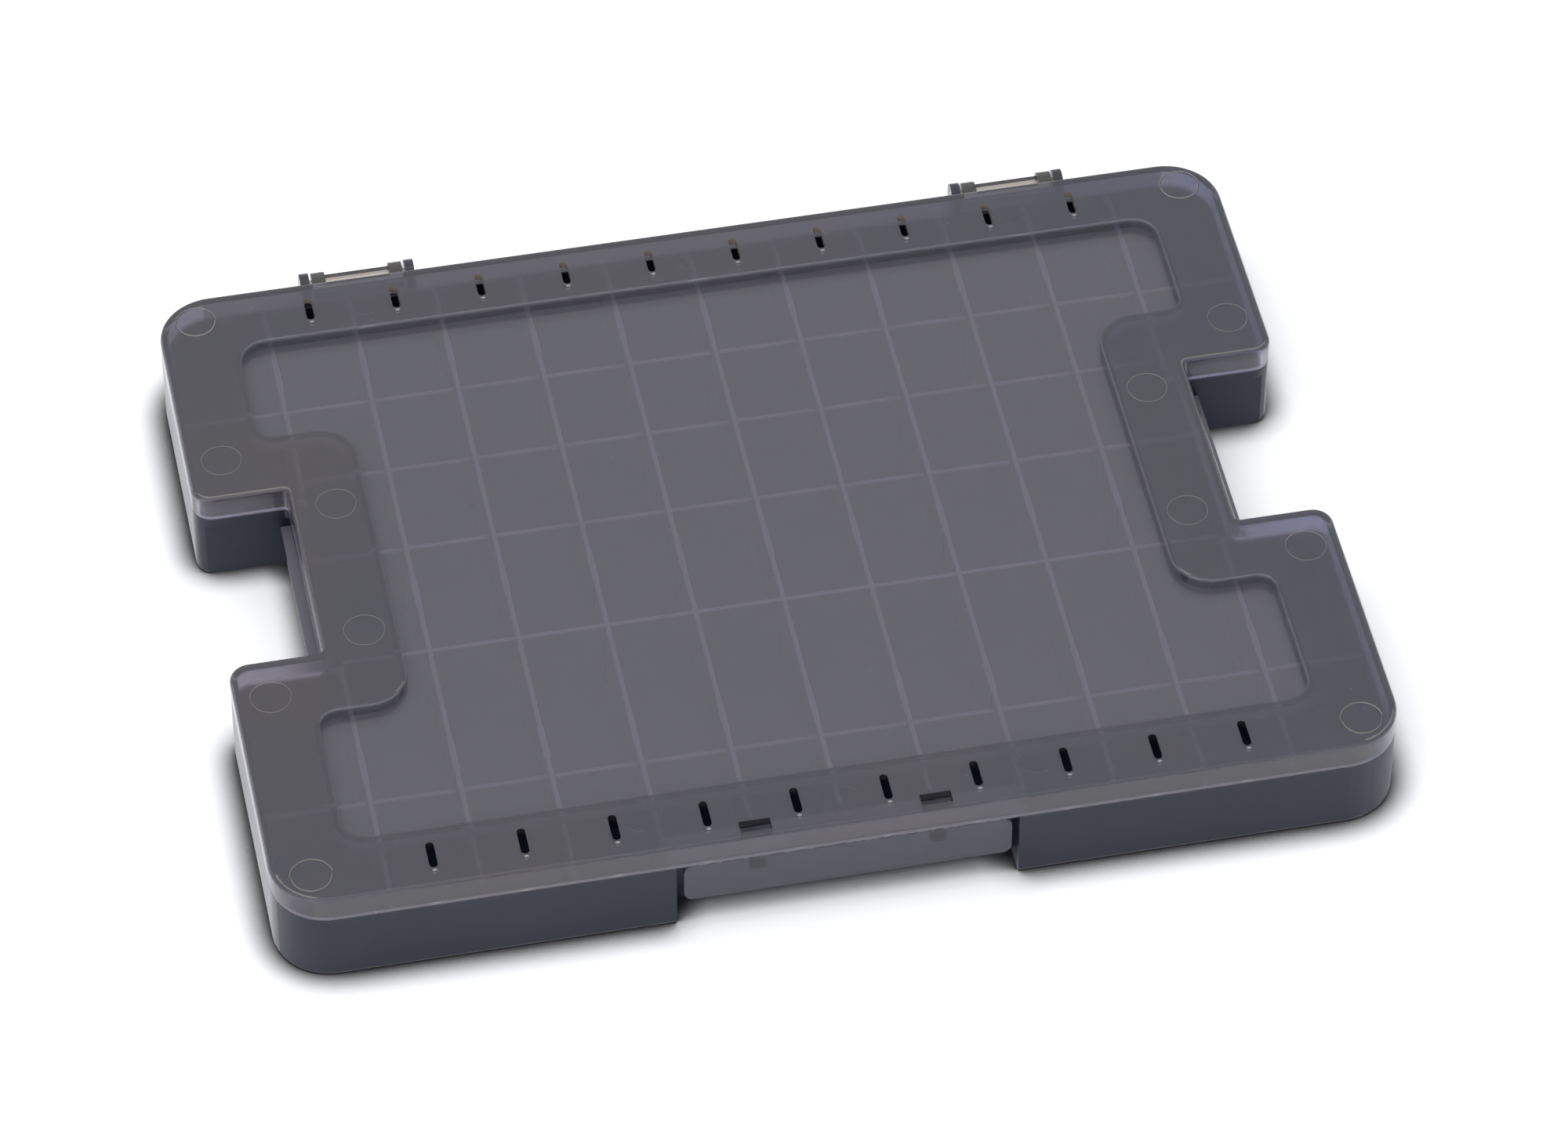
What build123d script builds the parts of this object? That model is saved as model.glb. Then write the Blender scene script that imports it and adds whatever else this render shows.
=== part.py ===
from build123d import *

import os

# A flat lure box: one moulded base full of compartments, one translucent lid on two pinned hinges
# at the back, and a latch flap that hangs from the front of the lid on a thin fold.
# Millimetres. X runs to the right, Y to the hinge side and Z up, from the middle of the underside.

# Outside of the closed box
HALF_X = 137.6
HALF_Y = 103.5
HEIGHT = 27.0
CORNER_R = 14.0
WALL = 1.8

# Finger notches in the two short sides
NOTCH_X = 114.2
NOTCH_FRONT = -24.0
NOTCH_BACK = 32.2
NOTCH_MOUTH_R = 5.0
NOTCH_INNER_R = 1.2

# Lid
BASE_H = 19.5
PARTING_GAP = 0.3
DECK_T = 2.0
EDGE_R = 1.3
PANEL_DEPTH = 2.9
PANEL_T = 2.0
PANEL_WALL = 1.6
PANEL_X = 118.4
PANEL_Y = 85.0
PANEL_WAIST = 95.0
PANEL_BITE_FRONT = -43.5
PANEL_BITE_BACK = 51.2
PANEL_CORNER_R = 6.5
PANEL_MOUTH_R = 4.5
PANEL_INNER_R = 10.0
PANEL_LIP_R = 0.9

# Compartments
PITCH = 22.0
LONG_WALLS = 11
DIVIDER_T = 1.2
DIVIDER_TOP = 21.8
LOW_TOP = 18.3
END_TOP = 19.2
END_STEP = 3.6
FLOOR = 2.0
CROSS_Y = [66.0, 41.0, 13.5, NOTCH_FRONT - WALL / 2, -68.0]
FULL_HEIGHT_CROSS = 3
RAMP_R = 8.0
RAMP_TOE = 0.3
BOSS_Y = [75.7, -5.2, -60.0]
BOSS_L = 10.2
BOSS_T = 1.6
BOSS_Z = 12.0

# Vents over the compartments at the front and the back of the lid
VENT_Y = 94.05
VENT_L = 8.0
VENT_W = 2.05

# Round marks that the ejector pins leave on the deck of the lid: clear ones at the corners, faint ones elsewhere
MARK_R = 5.0
CORNER_MARKS = [(x, y) for x in (-127.9, 127.9) for y in (-94.85, 94.85)]
FAINT_MARKS = [(0.0, 93.9), (0.0, -96.8)]
for half_x, y in [(84.9, 94.2), (48.0, -91.7), (103.0, 24.6), (103.0, -19.0), (128.7, 45.0), (128.7, -36.5)]:
    FAINT_MARKS += [(-half_x, y), (half_x, y)]
CORNER_MARK_W = 0.5
CORNER_MARK_D = 0.15
FAINT_MARK_W = 0.3
FAINT_MARK_D = 0.05

# Latch flap, its two hooks and the recess of the base that it closes
FLAP_HALF = 40.0
FLAP_BOTTOM = 7.8
FLAP_R = 2.4
HOOK_X = 22.0
HOOK_W = 4.0
HOOK_REACH = 3.0
HOOK_TOP = 18.1
HOOK_NOSE = 16.6
HOOK_FOOT = 14.2
WINDOW_W = 7.6
WINDOW_L = 3.5
RECESS_HALF = 41.8
RECESS_DEPTH = 8.0
LIP_T = 1.2
LIP_REACH = 5.4

# Rim band and hand ledges of the base in the notches
RIM_BAND = 2.65
SET_BACK = 0.7
LEDGE_TOP = 13.0
LEDGE_T = 2.5
LEDGE_OUT_LEFT = 116.4
LEDGE_OUT_RIGHT = 118.6
BASE_EDGE_R = 1.0

# Hinges
HINGE_X = 84.9
AXIS_Y = 106.8
AXIS_Z = 22.9
PIN_R = 1.0
RUNNING_GAP = 0.05
BARREL_R = 2.8
BARREL_L = 23.4
BARREL_OPEN_L = 16.4
EAR_R = 3.0
EAR_IN = 12.3
EAR_OUT = 14.7
EAR_FOOT_Z = 9.0
EAR_BACK_Z = 15.5
EAR_CLEAR = 0.55
ROOT = 0.4

# Levels and faces worked out from the sizes above
SKIRT_Z = BASE_H + PARTING_GAP
DECK_UNDER = HEIGHT - DECK_T
PANEL_TOP = HEIGHT - PANEL_DEPTH
PANEL_UNDER = PANEL_TOP - PANEL_T
INSIDE_X = HALF_X - WALL
INSIDE_Y = HALF_Y - WALL
RECESS_FACE = -HALF_Y + RECESS_DEPTH
RECESS_INSIDE = RECESS_FACE + WALL
OUTER_WALL_X = (LONG_WALLS // 2) * PITCH
RECESS_BLOCK_HALF = 2 * PITCH - DIVIDER_T / 2
CELL_W = PITCH - DIVIDER_T
NOTCH_WALL_X = NOTCH_X - SET_BACK
LEDGES = [(-LEDGE_OUT_LEFT, ROOT - NOTCH_WALL_X), (NOTCH_WALL_X - ROOT, LEDGE_OUT_RIGHT)]


def waisted_plan(half_x, half_y, waist, bite, radii):
    """Draw a rectangle with a bite out of each short side, rounded at all its corners."""
    corner_r, mouth_r, inner_r = radii
    bite_front, bite_back = bite
    Rectangle(2 * half_x, 2 * half_y)
    fillet(vertices(), corner_r)
    with Locations((-half_x, (bite_front + bite_back) / 2), (half_x, (bite_front + bite_back) / 2)):
        Rectangle(2 * (half_x - waist), bite_back - bite_front, mode=Mode.SUBTRACT)
    at_bite = vertices().filter_by(lambda v: bite_front - 0.01 < v.Y < bite_back + 0.01)
    fillet(at_bite.filter_by(lambda v: abs(v.X) > half_x - 0.01), mouth_r)
    at_bite = vertices().filter_by(lambda v: bite_front - 0.01 < v.Y < bite_back + 0.01)
    fillet(at_bite.filter_by(lambda v: abs(abs(v.X) - waist) < 0.01), inner_r)


def case_plan(inset):
    """Draw the plan of the box with every wall face moved inwards by the inset."""
    bite = (NOTCH_FRONT - inset, NOTCH_BACK + inset)
    radii = (CORNER_R - inset, NOTCH_MOUTH_R - inset, NOTCH_INNER_R + inset)
    waisted_plan(HALF_X - inset, HALF_Y - inset, NOTCH_X - inset, bite, radii)


def panel_plan(grow):
    """Draw the plan of the lid's sunken panel with its edge moved outwards by the growth."""
    bite = (PANEL_BITE_FRONT + grow, PANEL_BITE_BACK - grow)
    radii = (PANEL_CORNER_R + grow, PANEL_MOUTH_R + grow, PANEL_INNER_R - grow)
    waisted_plan(PANEL_X + grow, PANEL_Y + grow, PANEL_WAIST + grow, bite, radii)


def block(x_span, y_span, z_span, mode=Mode.ADD):
    """Add or take away a plain block between two values along each direction."""
    centre = [(span[0] + span[1]) / 2 for span in (x_span, y_span, z_span)]
    with Locations(tuple(centre)):
        Box(x_span[1] - x_span[0], y_span[1] - y_span[0], z_span[1] - z_span[0], mode=mode)


# Base: floor, outer wall, latch recess with its catch lip, notch ledges and hinge ears
with BuildPart() as base_case:
    with BuildSketch(Plane.XY):
        case_plan(0)
    extrude(amount=BASE_H)
    fillet(edges().group_by(Axis.Z)[0], BASE_EDGE_R)
    with BuildSketch(Plane.XY.offset(FLOOR)):
        case_plan(WALL)
        with Locations((0, (RECESS_INSIDE - HALF_Y) / 2)):
            Rectangle(2 * RECESS_BLOCK_HALF, HALF_Y + RECESS_INSIDE, mode=Mode.SUBTRACT)
    extrude(amount=BASE_H, mode=Mode.SUBTRACT)
    block((-RECESS_HALF, RECESS_HALF), (-HALF_Y - 1, RECESS_FACE), (-1, BASE_H + 1), Mode.SUBTRACT)
    block((-RECESS_HALF, RECESS_HALF), (RECESS_FACE - LIP_REACH, RECESS_FACE), (BASE_H - LIP_T, BASE_H))
    for side in (-1, 1):
        outer = sorted((side * NOTCH_WALL_X, side * (HALF_X + 1)))
        band_z = (-1, BASE_H - RIM_BAND)
        block(outer, (NOTCH_FRONT - SET_BACK, NOTCH_BACK + SET_BACK), band_z, Mode.SUBTRACT)
        link = sorted((side * (OUTER_WALL_X - DIVIDER_T / 2), side * (NOTCH_X - WALL)))
        block(link, (NOTCH_BACK, NOTCH_BACK + WALL), (FLOOR, BASE_H))
        block(link, (NOTCH_FRONT - WALL, NOTCH_FRONT), (FLOOR, BASE_H))
    ledge_y = (NOTCH_FRONT - SET_BACK, NOTCH_BACK + SET_BACK)
    for ledge_x in LEDGES:
        block(ledge_x, ledge_y, (LEDGE_TOP - LEDGE_T, LEDGE_TOP))
    for hinge in (-HINGE_X, HINGE_X):
        for side in (-1, 1):
            with BuildSketch(Plane.YZ.offset(hinge + side * (EAR_IN + EAR_OUT) / 2)):
                with BuildLine():
                    Polyline(
                        (AXIS_Y - EAR_R, AXIS_Z),
                        (AXIS_Y - EAR_R, BASE_H),
                        (HALF_Y - ROOT, BASE_H),
                        (HALF_Y - ROOT, EAR_FOOT_Z),
                        (AXIS_Y + EAR_R, EAR_BACK_Z),
                        (AXIS_Y + EAR_R, AXIS_Z),
                    )
                    ThreePointArc(
                        (AXIS_Y + EAR_R, AXIS_Z), (AXIS_Y, AXIS_Z + EAR_R), (AXIS_Y - EAR_R, AXIS_Z)
                    )
                make_face()
                with Locations((AXIS_Y, AXIS_Z)):
                    Circle(PIN_R, mode=Mode.SUBTRACT)
            extrude(amount=(EAR_OUT - EAR_IN) / 2, both=True)

base_case.part.label = "base_case"

# Long dividers, from the front wall to the back wall, with three thicker ejection pads in each
long_walls = []
for number in range(LONG_WALLS):
    x = number * PITCH - OUTER_WALL_X
    front = RECESS_INSIDE if abs(x) < RECESS_BLOCK_HALF else -INSIDE_Y
    spans = [(front, INSIDE_Y)]
    if abs(x) > NOTCH_X - PITCH:
        spans = [(front, NOTCH_FRONT - WALL), (NOTCH_BACK + WALL, INSIDE_Y)]
    with BuildPart() as long_wall:
        for low, high in spans:
            block((x - DIVIDER_T / 2, x + DIVIDER_T / 2), (low, high), (FLOOR, DIVIDER_TOP))
            for pad_y in BOSS_Y:
                if low < pad_y < high:
                    pad = (pad_y - BOSS_L / 2, pad_y + BOSS_L / 2)
                    block((x - BOSS_T / 2, x + BOSS_T / 2), pad, (BOSS_Z, DIVIDER_TOP))
        for end in (-1, 1):
            step = sorted((end * (INSIDE_Y - END_STEP), end * (INSIDE_Y + 1)))
            block((x - BOSS_T, x + BOSS_T), step, (END_TOP, DIVIDER_TOP + 1), Mode.SUBTRACT)
    long_wall.part.label = f"long_wall_{number + 1:02d}"
    long_walls.append(long_wall)


def inner_columns():
    """List the left and right faces of the ten columns between the outermost long dividers."""
    lefts = [n * PITCH - OUTER_WALL_X + DIVIDER_T / 2 for n in range(LONG_WALLS - 1)]
    return [(left, left + CELL_W) for left in lefts]


def columns_at(y):
    """List the left and right faces of every column that the plan has at one depth."""
    columns = inner_columns()
    if NOTCH_FRONT < y < NOTCH_BACK:
        columns[0] = (WALL - NOTCH_X, columns[0][1])
        columns[-1] = (columns[-1][0], NOTCH_X - WALL)
    elif y in (CROSS_Y[0], CROSS_Y[-1]):
        face = OUTER_WALL_X + DIVIDER_T / 2
        columns = [(-INSIDE_X, -face)] + columns + [(face, INSIDE_X)]
    return columns


# Cross dividers: only the fourth reaches the full height, so that long lures can lie across the rest
cross_walls = []
for number, y in enumerate(CROSS_Y):
    top = DIVIDER_TOP if number == FULL_HEIGHT_CROSS else LOW_TOP
    spans = columns_at(y)
    with BuildPart() as cross_wall:
        for span in spans:
            block(span, (y - DIVIDER_T / 2, y + DIVIDER_T / 2), (FLOOR, top))
    cross_wall.part.label = f"cross_walls_row_{number + 1}"
    cross_walls.append(cross_wall)


def ramp(x_span, y, floor_z):
    """Add a hollow-faced ramp that rises towards the front wall of one compartment."""
    with BuildSketch(Plane.YZ.offset((x_span[0] + x_span[1]) / 2)) as profile:
        with BuildLine():
            Polyline(
                (y, floor_z + RAMP_R),
                (y, floor_z),
                (y + RAMP_R, floor_z),
                (y + RAMP_R, floor_z + RAMP_TOE),
            )
            RadiusArc((y + RAMP_R, floor_z + RAMP_TOE), (y, floor_z + RAMP_R), RAMP_R)
        make_face()
    extrude(profile.sketch, amount=(x_span[1] - x_span[0]) / 2, both=True)


# Scoop ramps: one at the front of every compartment, so that a finger can slide a lure out
ramp_rows = []
for number in range(len(CROSS_Y) + 1):
    behind = CROSS_Y[number] + DIVIDER_T / 2 if number < len(CROSS_Y) else -INSIDE_Y
    last = number == len(CROSS_Y)
    far = INSIDE_X - CORNER_R + WALL if last else INSIDE_X
    with BuildPart() as ramps:
        if number in (0, len(CROSS_Y) - 1, len(CROSS_Y)):
            ramp((-far, -OUTER_WALL_X - DIVIDER_T / 2), behind, FLOOR)
            ramp((OUTER_WALL_X + DIVIDER_T / 2, far), behind, FLOOR)
        for span in inner_columns():
            in_recess = abs(span[0] + span[1]) / 2 < RECESS_BLOCK_HALF
            ramp(span, RECESS_INSIDE if last and in_recess else behind, FLOOR)
    ramps.part.label = f"ramps_row_{number + 1}"
    ramp_rows.append(ramps)

# Hinge pins: plain bright steel wire, tight in the ears and loose in the lid's barrels
with BuildPart() as hinge_pin_left:
    with BuildSketch(Plane.YZ.offset(-HINGE_X)):
        with Locations((AXIS_Y, AXIS_Z)):
            Circle(PIN_R)
    extrude(amount=EAR_OUT, both=True)
hinge_pin_left.part.label = "hinge_pin_left"

with BuildPart() as hinge_pin_right:
    with BuildSketch(Plane.YZ.offset(HINGE_X)):
        with Locations((AXIS_Y, AXIS_Z)):
            Circle(PIN_R)
    extrude(amount=EAR_OUT, both=True)
hinge_pin_right.part.label = "hinge_pin_right"


def pin_mark(place, width, depth):
    """Cut the fine round groove that the rim of an ejector pin leaves in the deck of the lid."""
    with BuildSketch(Plane((*place, HEIGHT), x_dir=(1, 0, 0), z_dir=(0, -1, 0))) as profile:
        with BuildLine():
            Polyline((MARK_R - width, depth), (MARK_R, -depth), (MARK_R + width, depth), close=True)
        make_face()
    revolve(profile.sketch, axis=Axis((*place, 0), (0, 0, 1)), mode=Mode.SUBTRACT)


# Lid: skirt and deck round a sunken panel, with two open-topped hinge barrels at the back
with BuildPart() as lid:
    with BuildSketch(Plane.XY.offset(SKIRT_Z)):
        case_plan(0)
    extrude(amount=HEIGHT - SKIRT_Z)
    fillet(edges().group_by(Axis.Z)[-1], EDGE_R)
    with BuildSketch(Plane.XY.offset(SKIRT_Z)):
        case_plan(WALL)
    extrude(amount=DECK_UNDER - SKIRT_Z, mode=Mode.SUBTRACT)
    with BuildSketch(Plane.XY.offset(PANEL_UNDER)):
        panel_plan(PANEL_WALL)
    extrude(amount=DECK_UNDER - PANEL_UNDER)
    with BuildSketch(Plane.XY.offset(PANEL_TOP)):
        panel_plan(0)
    extrude(amount=PANEL_DEPTH, mode=Mode.SUBTRACT)
    top_edges = edges().group_by(Axis.Z)[-1]
    fillet(top_edges.filter_by(lambda e: abs(e.center().Y) <= PANEL_Y), PANEL_LIP_R)
    with BuildSketch(Plane.XY.offset(HEIGHT)):
        with GridLocations(PITCH, 2 * VENT_Y, LONG_WALLS - 1, 2):
            SlotOverall(VENT_L, VENT_W, rotation=90)
        with Locations((-HOOK_X, WINDOW_L / 2 - INSIDE_Y), (HOOK_X, WINDOW_L / 2 - INSIDE_Y)):
            Rectangle(WINDOW_W, WINDOW_L)
    extrude(amount=-DECK_T, mode=Mode.SUBTRACT)
    for hinge in (-HINGE_X, HINGE_X):
        with BuildSketch(Plane.YZ.offset(hinge)):
            with Locations((AXIS_Y, AXIS_Z)):
                Circle(BARREL_R)
            with Locations(((HALF_Y - ROOT + AXIS_Y) / 2, AXIS_Z)):
                Rectangle(AXIS_Y - HALF_Y + ROOT, 2 * BARREL_R)
        extrude(amount=BARREL_L / 2, both=True)
        with BuildSketch(Plane.YZ.offset(hinge)):
            with Locations((AXIS_Y, AXIS_Z)):
                Circle(PIN_R + RUNNING_GAP)
        extrude(amount=BARREL_L, both=True, mode=Mode.SUBTRACT)
        open_x = (hinge - BARREL_OPEN_L / 2, hinge + BARREL_OPEN_L / 2)
        open_y = (HALF_Y + EAR_CLEAR, AXIS_Y + BARREL_R + 1)
        block(open_x, open_y, (AXIS_Z, AXIS_Z + BARREL_R + 1), Mode.SUBTRACT)
    for place in CORNER_MARKS:
        pin_mark(place, CORNER_MARK_W, CORNER_MARK_D)
    for place in FAINT_MARKS:
        pin_mark(place, FAINT_MARK_W, FAINT_MARK_D)
lid.part.label = "lid"

# Latch flap: hangs under the front skirt and hooks beneath the catch lip of the base
with BuildPart() as latch_flap:
    flap_top = SKIRT_Z - PARTING_GAP
    with BuildSketch(Plane.XZ.offset(HALF_Y)):
        with Locations((0, (flap_top + FLAP_BOTTOM) / 2)):
            Rectangle(2 * FLAP_HALF, flap_top - FLAP_BOTTOM)
        fillet(vertices().group_by(Axis.Z)[0], FLAP_R)
    extrude(amount=-WALL)
    for hook in (-HOOK_X, HOOK_X):
        with BuildSketch(Plane.YZ.offset(hook)):
            with BuildLine():
                Polyline(
                    (-INSIDE_Y - ROOT, HOOK_TOP),
                    (-INSIDE_Y + HOOK_REACH, HOOK_TOP),
                    (-INSIDE_Y + HOOK_REACH, HOOK_NOSE),
                    (-INSIDE_Y - ROOT, HOOK_FOOT),
                    close=True,
                )
            make_face()
        extrude(amount=HOOK_W / 2, both=True)
latch_flap.part.label = "latch_flap"

os.makedirs("parts", exist_ok=True)
for piece in [base_case, *long_walls, *cross_walls, *ramp_rows, hinge_pin_left, hinge_pin_right, lid, latch_flap]:
    export_step(piece.part, f"parts/{piece.part.label}.step")
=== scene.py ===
import math

import bmesh
import bpy
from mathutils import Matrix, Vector


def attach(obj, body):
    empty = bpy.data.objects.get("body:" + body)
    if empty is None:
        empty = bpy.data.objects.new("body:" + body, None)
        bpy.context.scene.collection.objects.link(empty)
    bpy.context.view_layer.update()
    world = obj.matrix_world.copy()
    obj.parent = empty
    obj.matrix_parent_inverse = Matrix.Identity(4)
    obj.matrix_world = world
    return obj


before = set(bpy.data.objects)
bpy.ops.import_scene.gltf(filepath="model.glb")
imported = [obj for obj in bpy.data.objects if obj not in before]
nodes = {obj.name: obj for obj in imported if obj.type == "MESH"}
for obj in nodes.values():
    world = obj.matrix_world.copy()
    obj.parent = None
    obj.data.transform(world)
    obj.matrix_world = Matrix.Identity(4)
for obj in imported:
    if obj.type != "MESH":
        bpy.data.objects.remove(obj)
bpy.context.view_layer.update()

# Camera
# A long lens looks down at the box from the front left, as in the product photograph.
# The distance and the angle were fitted to the two rows of vents in the lid.
PHOTO_WIDTH = 2000
SENSOR_MM = 36.0
FOCAL_PIXELS = 9614
VIEW_TURN = math.radians(-11.35)
VIEW_HEIGHT = math.radians(46.47)
VIEW_DISTANCE = 1.86204
AIM_RIGHT = 0.004937
AIM_UP = -0.011487
DECK_HEIGHT = 0.027

right = Vector((math.cos(VIEW_TURN), math.sin(VIEW_TURN), 0))
back = Vector((
    math.sin(VIEW_TURN) * math.cos(VIEW_HEIGHT),
    -math.cos(VIEW_TURN) * math.cos(VIEW_HEIGHT),
    math.sin(VIEW_HEIGHT),
))
up = back.cross(right)
camera_data = bpy.data.cameras.new("camera")
camera_data.sensor_width = SENSOR_MM
camera_data.lens = FOCAL_PIXELS * SENSOR_MM / PHOTO_WIDTH
camera_data.clip_end = 20
camera = bpy.data.objects.new("camera", camera_data)
camera.location = AIM_RIGHT * right + AIM_UP * up + VIEW_DISTANCE * back + Vector((0, 0, DECK_HEIGHT))
camera.rotation_euler = (-back).to_track_quat("-Z", "Y").to_euler()
bpy.context.scene.collection.objects.link(camera)
bpy.context.scene.camera = camera

# Base moulding
# One opaque injection moulding in slate-blue ABS, glossier outside and satin in the compartments.
# The tops of the dividers and of the rim carry a painted highlight, and the ledges in the finger
# notches a painted reflection. The hinge ears stand out from its back wall.
SLATE = (0.012, 0.016, 0.040)
SLATE_LIGHT = (0.019, 0.024, 0.052)
TOP_PAINTED_HIGHLIGHT = (0.25, 0.245, 0.26)
EAR_SLATE = (0.060, 0.062, 0.085)
EAR_FROM = 0.1036
LEDGE_PAINTED_REFLECTION = (0.26, 0.25, 0.30)
LEDGE_AT = (0.0124, 0.0134)
FACING_UP = 0.8
SLATE_ROUGHNESS = (0.38, 0.43)
OUTSIDE_SMOOTHER = 0.2
TOP_FROM = 0.0178
TOP_TO = 0.0220
OUTSIDE_X = 0.1366
OUTSIDE_Y = 0.1025


def finish_nodes(name):
    """Start a node material and return it with its node tree and its main shader."""
    material = bpy.data.materials.new(name)
    material.use_nodes = True
    tree = material.node_tree
    return material, tree, tree.nodes["Principled BSDF"]


def add_node(tree, kind, values=None, **settings):
    """Add one node, set its properties and fill in its unlinked inputs."""
    node = tree.nodes.new(kind)
    for key, value in settings.items():
        setattr(node, key, value)
    for key, value in (values or {}).items():
        node.inputs[key].default_value = value
    return node


def link(tree, source, target):
    """Join an output socket to an input socket."""
    tree.links.new(source, target)


def object_space(tree, scale=(1, 1, 1)):
    """Give object coordinates, stretched by a scale."""
    coords = add_node(tree, "ShaderNodeTexCoord")
    mapping = add_node(tree, "ShaderNodeMapping", {"Scale": scale})
    link(tree, coords.outputs["Object"], mapping.inputs["Vector"])
    return mapping.outputs["Vector"]


def place_and_facing(tree):
    """Give the three parts of the place on the object, and those of the direction that the surface faces."""
    coords = add_node(tree, "ShaderNodeTexCoord")
    parts = []
    for output in ("Object", "Normal"):
        split = add_node(tree, "ShaderNodeSeparateXYZ")
        link(tree, coords.outputs[output], split.inputs[0])
        parts += [split.outputs[axis] for axis in "XYZ"]
    return parts


def noise(tree, vector, scale, detail=3.0, rough=0.5):
    """Give the value of a noise pattern."""
    node = add_node(tree, "ShaderNodeTexNoise", {"Scale": scale, "Detail": detail, "Roughness": rough})
    link(tree, vector, node.inputs["Vector"])
    return node.outputs["Fac"]


def remap(tree, value, low, high, to_low, to_high):
    """Stretch a value from one range to another and clamp it."""
    node = add_node(
        tree, "ShaderNodeMapRange",
        {"From Min": low, "From Max": high, "To Min": to_low, "To Max": to_high},
    )
    link(tree, value, node.inputs["Value"])
    return node.outputs["Result"]


def blend_colour(tree, amount, first, second):
    """Mix two colours by a value; each colour is a tuple or a socket."""
    node = add_node(tree, "ShaderNodeMix", data_type="RGBA")
    link(tree, amount, node.inputs["Factor"])
    for value, name in ((first, "A"), (second, "B")):
        socket = next(s for s in node.inputs if s.name == name and s.type == "RGBA")
        if isinstance(value, tuple):
            socket.default_value = (*value, 1)
        else:
            link(tree, value, socket)
    return next(s for s in node.outputs if s.type == "RGBA")


def calculate(tree, operation, *values):
    """Work out one value; each input is a number or a socket, and more than two are taken in turn."""
    result = values[0]
    for value in values[1:] or (0.0,):
        node = add_node(tree, "ShaderNodeMath", operation=operation)
        for source, socket in ((result, node.inputs[0]), (value, node.inputs[1])):
            if isinstance(source, (int, float)):
                socket.default_value = source
            else:
                link(tree, source, socket)
        result = node.outputs[0]
    return result


def above(tree, value, limit):
    """Give 1 where a value is over a limit and 0 elsewhere."""
    return calculate(tree, "GREATER_THAN", value, limit)


def below(tree, value, limit):
    """Give 1 where a value is under a limit and 0 elsewhere."""
    return calculate(tree, "LESS_THAN", value, limit)


def between(tree, value, low, high):
    """Give 1 where a value lies between two limits and 0 elsewhere."""
    return calculate(tree, "MULTIPLY", above(tree, value, low), below(tree, value, high))


def all_of(tree, *masks):
    """Give 1 only where every mask is 1."""
    return calculate(tree, "MULTIPLY", *masks)


def outer_wall(tree, side_x, side_y):
    """Give 1 on the outermost faces of the box."""
    return calculate(tree, "MAXIMUM", above(tree, side_x, OUTSIDE_X), above(tree, side_y, OUTSIDE_Y))


def bump(tree, shader, height, strength, distance):
    """Press a height pattern into a shader's surface."""
    node = add_node(tree, "ShaderNodeBump", {"Strength": strength, "Distance": distance})
    link(tree, height, node.inputs["Height"])
    link(tree, node.outputs["Normal"], shader.inputs["Normal"])


def dress(names, material):
    """Give a material to the moulded pieces of the frame."""
    for name in names:
        nodes[name].data.materials.clear()
        nodes[name].data.materials.append(material)


slate, tree, shader = finish_nodes("slate_moulding")
shader.inputs["IOR"].default_value = 1.42
place = object_space(tree)
x, y, z, _, _, facing_z = place_and_facing(tree)
cloud = noise(tree, place, 35, 4)
grain = noise(tree, place, 2600, 2)
colour = blend_colour(tree, remap(tree, cloud, 0.35, 0.65, 0, 1), SLATE, SLATE_LIGHT)
# The upward faces of the divider and rim tops get a painted highlight.
top = all_of(tree, between(tree, z, TOP_FROM, TOP_TO), remap(tree, facing_z, 0.6, 0.9, 0, 1))
colour = blend_colour(tree, above(tree, y, EAR_FROM), colour, EAR_SLATE)
# The ledge tops in the finger notches get a paler colour: a painted reflection.
ledge = all_of(tree, between(tree, z, *LEDGE_AT), above(tree, facing_z, FACING_UP))
colour = blend_colour(tree, ledge, colour, LEDGE_PAINTED_REFLECTION)
link(tree, blend_colour(tree, top, colour, TOP_PAINTED_HIGHLIGHT), shader.inputs["Base Color"])
outside = outer_wall(tree, calculate(tree, "ABSOLUTE", x), calculate(tree, "ABSOLUTE", y))
satin = remap(tree, cloud, 0.3, 0.7, *SLATE_ROUGHNESS)
polish = calculate(tree, "MULTIPLY", outside, OUTSIDE_SMOOTHER)
link(tree, calculate(tree, "SUBTRACT", satin, polish), shader.inputs["Roughness"])
bump(tree, shader, grain, 0.12, 0.0001)
dress([name for name in nodes if name.startswith(("base", "long_wall", "cross_walls", "ramps"))], slate)

# Hinge pins
# Two straight pieces of drawn steel wire, pressed into the ears of the base.
# Fine marks from the drawing die run along each wire.
WIRE_DARK = (0.30, 0.26, 0.24)
WIRE_BRIGHT = (0.52, 0.47, 0.43)

wire, tree, shader = finish_nodes("drawn_wire")
shader.inputs["Metallic"].default_value = 1.0
place = object_space(tree, (40, 3000, 3000))
streaks = noise(tree, place, 1, 3)
link(tree, blend_colour(tree, streaks, WIRE_DARK, WIRE_BRIGHT), shader.inputs["Base Color"])
link(tree, remap(tree, streaks, 0.3, 0.7, 0.2, 0.36), shader.inputs["Roughness"])
bump(tree, shader, streaks, 0.1, 0.00005)
dress(["hinge_pin_left", "hinge_pin_right"], wire)
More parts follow.
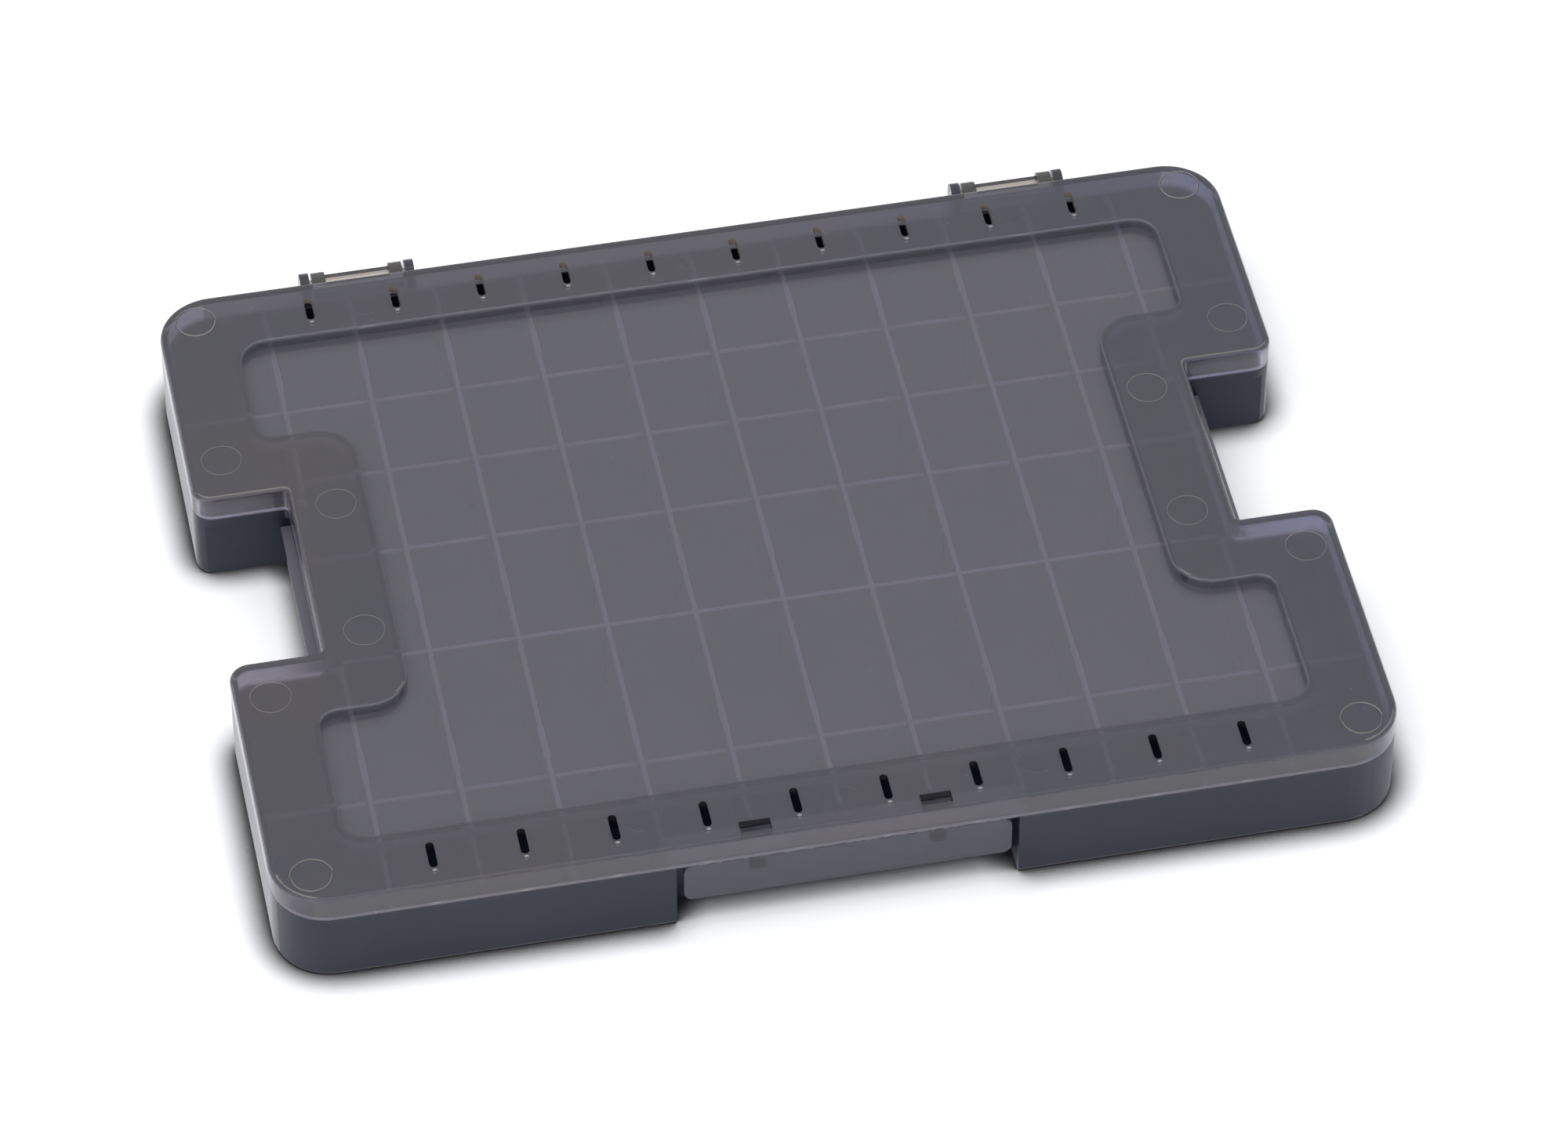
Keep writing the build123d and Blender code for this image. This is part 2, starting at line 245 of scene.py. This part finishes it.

# Lid and latch flap
# One injection moulding in translucent smoke plastic. The border is satin, so what lies below it blurs,
# and the sunken panel is smoother, so the dividers show through it. The walls of the front vents look dark,
# those of the back vents carry a painted beige glow, a painted glint stands at the front end of each vent,
# and fine dust clings to it. The outer faces of the skirt carry a painted reflection, the walls of the
# panel's step painted light, and the pin marks a painted highlight on their front-facing walls and
# painted shade on their back-facing walls.
SMOKE = (0.43, 0.445, 0.58)
SMOKE_WARM = (0.54, 0.50, 0.56)
PANEL_SMOKE = (0.76, 0.74, 0.86)
FLAP_SMOKE = (0.39, 0.39, 0.51)
HOOK_SMOKE = (0.24, 0.24, 0.32)
SKIRT_PAINTED_REFLECTION = (0.56, 0.53, 0.58)
STEP_PAINTED_LIGHT = (0.90, 0.90, 1.00)
VENT_DARK = (0.03, 0.028, 0.03)
VENT_PAINTED_GLOW = (0.50, 0.43, 0.37)
HINGE_SMOKE = (0.16, 0.15, 0.15)
PIN_MARK_PAINTED_HIGHLIGHT = (0.52, 0.48, 0.44)
PIN_MARK_PAINTED_SHADE = (0.05, 0.05, 0.06)
DUST_AND_GLINT_WHITE = (0.75, 0.73, 0.70)
CLEARNESS = 0.875
ABSORBED = (0.20, 0.20, 0.25)
ABSORBING = 120
PANEL_LOW = 0.0244
PANEL_SIDE = 0.0865
STEP_FOOT = 0.02395
STEP_WAIST = 0.0965
STEP_SHOULDER = 0.0405
STEP_SIDE = 0.1205
VENT_ROWS = (0.0885, 0.1020)
VENT_END = 0.1060
VENT_UNDER = 0.0249
PITCH = 0.022
MARK_BACK_Y = 0.08925
MARK_FRONT_Y = -0.09885
VENT_GLINT_SIZE = (0.00075, 0.00045)
HINGE_FROM = 0.1034
FLAP_TOP = 0.0196
HOOK_X = (0.0200, 0.0240)
HOOK_Z = (0.0154, 0.0185)
HOOK_FRONT = -0.0965
SKIRT_TOP = 0.0262
DECK_FROM = 0.02684
DECK_HALF = (0.1361, 0.1020)
UPRIGHT = 0.75
LEVEL = 0.9
BORDER_ROUGHNESS = 0.19
PANEL_ROUGHNESS = 0.12
CLOUDED_CLEARNESS = 0.1
GROOVE_CLOUD = 0.5
SKIRT_CLOUD = 0.07
HINGE_CLOUD = 0.4
PIN_MARK_FACING = (0.80, 0.97)
SCUFF_X = (-0.1145, -0.1139)
SCUFF_Z = (0.0197, 0.0211)
DUST_SPACING = 1 / 0.0038
DUST_SIZE = 0.030

smoke, tree, shader = finish_nodes("smoke_moulding")
shader.inputs["IOR"].default_value = 1.5
place = object_space(tree)
x, y, z, _, facing_y, facing_z = place_and_facing(tree)
side_x = calculate(tree, "ABSOLUTE", x)
side_y = calculate(tree, "ABSOLUTE", y)
upright = below(tree, calculate(tree, "ABSOLUTE", facing_z), UPRIGHT)
panel = all_of(tree, below(tree, z, PANEL_LOW), below(tree, side_y, PANEL_SIDE))
shoulder = all_of(tree, above(tree, side_y, STEP_SHOULDER), below(tree, side_x, STEP_SIDE))
round_panel = calculate(tree, "MAXIMUM", shoulder, below(tree, side_x, STEP_WAIST))
step = all_of(tree, round_panel, upright, above(tree, z, STEP_FOOT), below(tree, side_y, PANEL_SIDE))
vent = all_of(tree, upright, between(tree, side_y, *VENT_ROWS), below(tree, side_x, VENT_END),
              above(tree, z, VENT_UNDER))
hinge = above(tree, y, HINGE_FROM)
# The next lines place a painted glint, a small pale oval on the deck at the front end of each vent.
in_cell = calculate(tree, "FRACT", calculate(tree, "DIVIDE", x, PITCH))
across = calculate(tree, "MULTIPLY", calculate(tree, "SUBTRACT", in_cell, 0.5), PITCH)
along = calculate(tree, "MINIMUM",
                  calculate(tree, "ABSOLUTE", calculate(tree, "SUBTRACT", y, MARK_BACK_Y)),
                  calculate(tree, "ABSOLUTE", calculate(tree, "SUBTRACT", y, MARK_FRONT_Y)))
spread = calculate(tree, "ADD",
                   calculate(tree, "POWER", calculate(tree, "DIVIDE", across, VENT_GLINT_SIZE[0]), 2),
                   calculate(tree, "POWER", calculate(tree, "DIVIDE", along, VENT_GLINT_SIZE[1]), 2))
vent_painted_glint = all_of(tree, remap(tree, spread, 0.0, 1.0, 0.9, 0), below(tree, side_x, VENT_END),
                   above(tree, facing_z, LEVEL))
skirt = all_of(tree, upright, between(tree, z, FLAP_TOP, SKIRT_TOP), outer_wall(tree, side_x, side_y))
deck = all_of(tree, above(tree, z, DECK_FROM), below(tree, side_x, DECK_HALF[0]),
              below(tree, side_y, DECK_HALF[1]), calculate(tree, "SUBTRACT", 1.0, round_panel))
groove = all_of(tree, deck, between(tree, facing_z, *PIN_MARK_FACING))
cloud = noise(tree, place, 16, 3)
fine = noise(tree, place, 1500, 2)
rub = noise(tree, place, 900, 3)
scuff = all_of(tree, remap(tree, rub, 0.50, 0.60, 0, 1), between(tree, x, *SCUFF_X),
               between(tree, z, *SCUFF_Z), upright)
grit = add_node(tree, "ShaderNodeTexVoronoi", {"Scale": DUST_SPACING})
link(tree, place, grit.inputs["Vector"])
dust = remap(tree, grit.outputs["Distance"], DUST_SIZE * 0.7, DUST_SIZE, 1, 0)
# Dust, scuffs and the painted vent glints all take the pale colour and cloud the plastic.
dust_scuff_and_glint = calculate(tree, "MAXIMUM", dust, scuff, vent_painted_glint)

warm = calculate(tree, "SUBTRACT", remap(tree, cloud, 0.38, 0.62, 0.35, 1),
                 remap(tree, x, -0.06, 0.13, 0, 0.7))
colour = blend_colour(tree, remap(tree, warm, 0, 1, 0, 1), SMOKE, SMOKE_WARM)
colour = blend_colour(tree, panel, colour, PANEL_SMOKE)
# The walls of the step round the panel are nearly clear: painted light that lifts their shade.
colour = blend_colour(tree, step, colour, STEP_PAINTED_LIGHT)
# The walls of the back vents get a painted beige glow of light through the plastic; the front ones are dark.
colour = blend_colour(tree, vent, colour, blend_colour(tree, above(tree, y, 0.0), VENT_DARK, VENT_PAINTED_GLOW))
# The outer faces of the skirt are paler: a painted reflection.
colour = blend_colour(tree, skirt, colour, SKIRT_PAINTED_REFLECTION)
colour = blend_colour(tree, hinge, colour, HINGE_SMOKE)
colour = blend_colour(tree, below(tree, z, FLAP_TOP), colour, FLAP_SMOKE)
hook = all_of(tree, between(tree, side_x, *HOOK_X), between(tree, z, *HOOK_Z), below(tree, y, HOOK_FRONT))
colour = blend_colour(tree, hook, colour, HOOK_SMOKE)
# The sloped walls of the pin marks: a painted highlight where they face the front, painted shade where they face the
# back.
colour = blend_colour(tree, groove, colour, blend_colour(
    tree, remap(tree, facing_y, -0.1, 0.1, 0, 1), PIN_MARK_PAINTED_HIGHLIGHT, PIN_MARK_PAINTED_SHADE))
link(tree, blend_colour(tree, dust_scuff_and_glint, colour, DUST_AND_GLINT_WHITE), shader.inputs["Base Color"])
clouded = calculate(tree, "MAXIMUM", dust_scuff_and_glint, vent, calculate(tree, "MULTIPLY", groove, GROOVE_CLOUD),
                    calculate(tree, "MULTIPLY", skirt, SKIRT_CLOUD), calculate(tree, "MULTIPLY", hinge, HINGE_CLOUD))
link(tree, remap(tree, clouded, 0, 1, CLEARNESS, CLOUDED_CLEARNESS), shader.inputs["Transmission Weight"])
link(tree, remap(tree, panel, 0, 1, BORDER_ROUGHNESS, PANEL_ROUGHNESS), shader.inputs["Roughness"])
bump(tree, shader, fine, 0.05, 0.00002)
absorption = add_node(tree, "ShaderNodeVolumeAbsorption", {"Color": (*ABSORBED, 1), "Density": ABSORBING})
link(tree, absorption.outputs["Volume"], tree.nodes["Material Output"].inputs["Volume"])
dress(["lid", "latch_flap"], smoke)

# Fold film
# The thin web that the flap swings on, moulded in one with the lid and whitened where it has bent.
# It lies in the narrow gap between the skirt and the flap, flush with their outer faces.
FOLD_HALF = 0.0396
FOLD_Y = (-0.1034, -0.1031)
FOLD_Z = (0.01948, 0.01982)
FOLD_BEVEL = 0.00008
FOLD_DARK = (0.10, 0.10, 0.11)
FOLD_WHITENED = (0.62, 0.60, 0.58)

bm = bmesh.new()
bmesh.ops.create_cube(bm, size=1)
bmesh.ops.scale(bm, vec=(2 * FOLD_HALF, FOLD_Y[1] - FOLD_Y[0], FOLD_Z[1] - FOLD_Z[0]), verts=bm.verts)
bmesh.ops.translate(bm, vec=(0, sum(FOLD_Y) / 2, sum(FOLD_Z) / 2), verts=bm.verts)
long_edges = [edge for edge in bm.edges if abs(edge.verts[0].co.x - edge.verts[1].co.x) > FOLD_HALF]
bmesh.ops.bevel(bm, geom=long_edges, offset=FOLD_BEVEL, segments=2, profile=0.5, affect="EDGES", material=-1)
fold_mesh = bpy.data.meshes.new("fold_film")
bm.to_mesh(fold_mesh)
bm.free()
fold = bpy.data.objects.new("fold_film", fold_mesh)
bpy.context.scene.collection.objects.link(fold)
bent, tree, shader = finish_nodes("bent_smoke")
place = object_space(tree)
strain = noise(tree, place, 900, 3)
whitened = remap(tree, strain, 0.48, 0.62, 0, 1)
link(tree, blend_colour(tree, whitened, FOLD_DARK, FOLD_WHITENED), shader.inputs["Base Color"])
link(tree, remap(tree, strain, 0.3, 0.7, 0.3, 0.5), shader.inputs["Roughness"])
bump(tree, shader, strain, 0.4, 0.00005)
fold_mesh.materials.append(bent)
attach(fold, "lid")

# Floor
# A wide flat sheet of white paper. It isn't part of the object and only carries the shadow.
# What rays from the camera see of it is whiter, with a painted shadow that darkens it in a narrow band round the
# foot of the box.
FLOOR_HALF = 6
SHADOW_REACH = 0.0085
SHADOW_FROM = (0.54, 0.97)
SHADOW_DARKEST = 0.04
WHITE_PAPER = (0.80, 0.80, 0.80)
SEEN_WHITE = (2.1, 2.1, 2.1)

bm = bmesh.new()
bmesh.ops.create_grid(bm, x_segments=1, y_segments=1, size=FLOOR_HALF)
floor_mesh = bpy.data.meshes.new("floor")
bm.to_mesh(floor_mesh)
bm.free()
floor = bpy.data.objects.new("floor", floor_mesh)
bpy.context.scene.collection.objects.link(floor)
paper, tree, shader = finish_nodes("white_paper")
shader.inputs["Roughness"].default_value = 0.9
shader.inputs["Specular IOR Level"].default_value = 0.0
path = add_node(tree, "ShaderNodeLightPath")
seen = calculate(tree, "MAXIMUM", path.outputs["Is Camera Ray"], path.outputs["Is Transmission Ray"])
shown = calculate(tree, "MAXIMUM", seen, path.outputs["Is Glossy Ray"])
# Ambient occlusion gives a painted contact shadow, seen only by camera and transmission rays.
corner = add_node(tree, "ShaderNodeAmbientOcclusion", {"Distance": SHADOW_REACH}, samples=8)
dark = remap(tree, corner.outputs["AO"], *SHADOW_FROM, SHADOW_DARKEST, 1)
dark = calculate(tree, "MAXIMUM", dark, calculate(tree, "SUBTRACT", 1.0, seen))
pale = blend_colour(tree, dark, (0.0, 0.0, 0.0), SEEN_WHITE)
link(tree, blend_colour(tree, shown, WHITE_PAPER, pale), shader.inputs["Base Color"])
floor_mesh.materials.append(paper)

# Light
# A pale studio all round, with one broad soft box above and a little to the front left.
# The soft box is wide, so that the shadow stays soft.
STUDIO_COLOUR = (0.97, 0.98, 1.0)
STUDIO_LIGHT = 0.5
STUDIO_SEEN = 1.0
SOFT_BOX_PLACE = (-0.5, -0.35, 1.7)
SOFT_BOX_SIZE = 1.6
SOFT_BOX_POWER = 6

world = bpy.data.worlds.new("studio")
world.use_nodes = True
bpy.context.scene.world = world
tree = world.node_tree
ground = tree.nodes["Background"]
ground.inputs["Color"].default_value = (*STUDIO_COLOUR, 1)
path = add_node(tree, "ShaderNodeLightPath")
seen = calculate(tree, "MAXIMUM", path.outputs["Is Camera Ray"], path.outputs["Is Transmission Ray"],
                 path.outputs["Is Glossy Ray"])
link(tree, remap(tree, seen, 0, 1, STUDIO_LIGHT, STUDIO_SEEN), ground.inputs["Strength"])

lamp = bpy.data.lights.new("soft_box_top", "AREA")
lamp.shape = "RECTANGLE"
lamp.size = lamp.size_y = SOFT_BOX_SIZE
lamp.energy = SOFT_BOX_POWER
holder = bpy.data.objects.new("soft_box_top", lamp)
holder.location = SOFT_BOX_PLACE
holder.rotation_euler = (-Vector(SOFT_BOX_PLACE)).to_track_quat("-Z", "Y").to_euler()
bpy.context.scene.collection.objects.link(holder)

bpy.context.scene.view_settings.view_transform = "Standard"
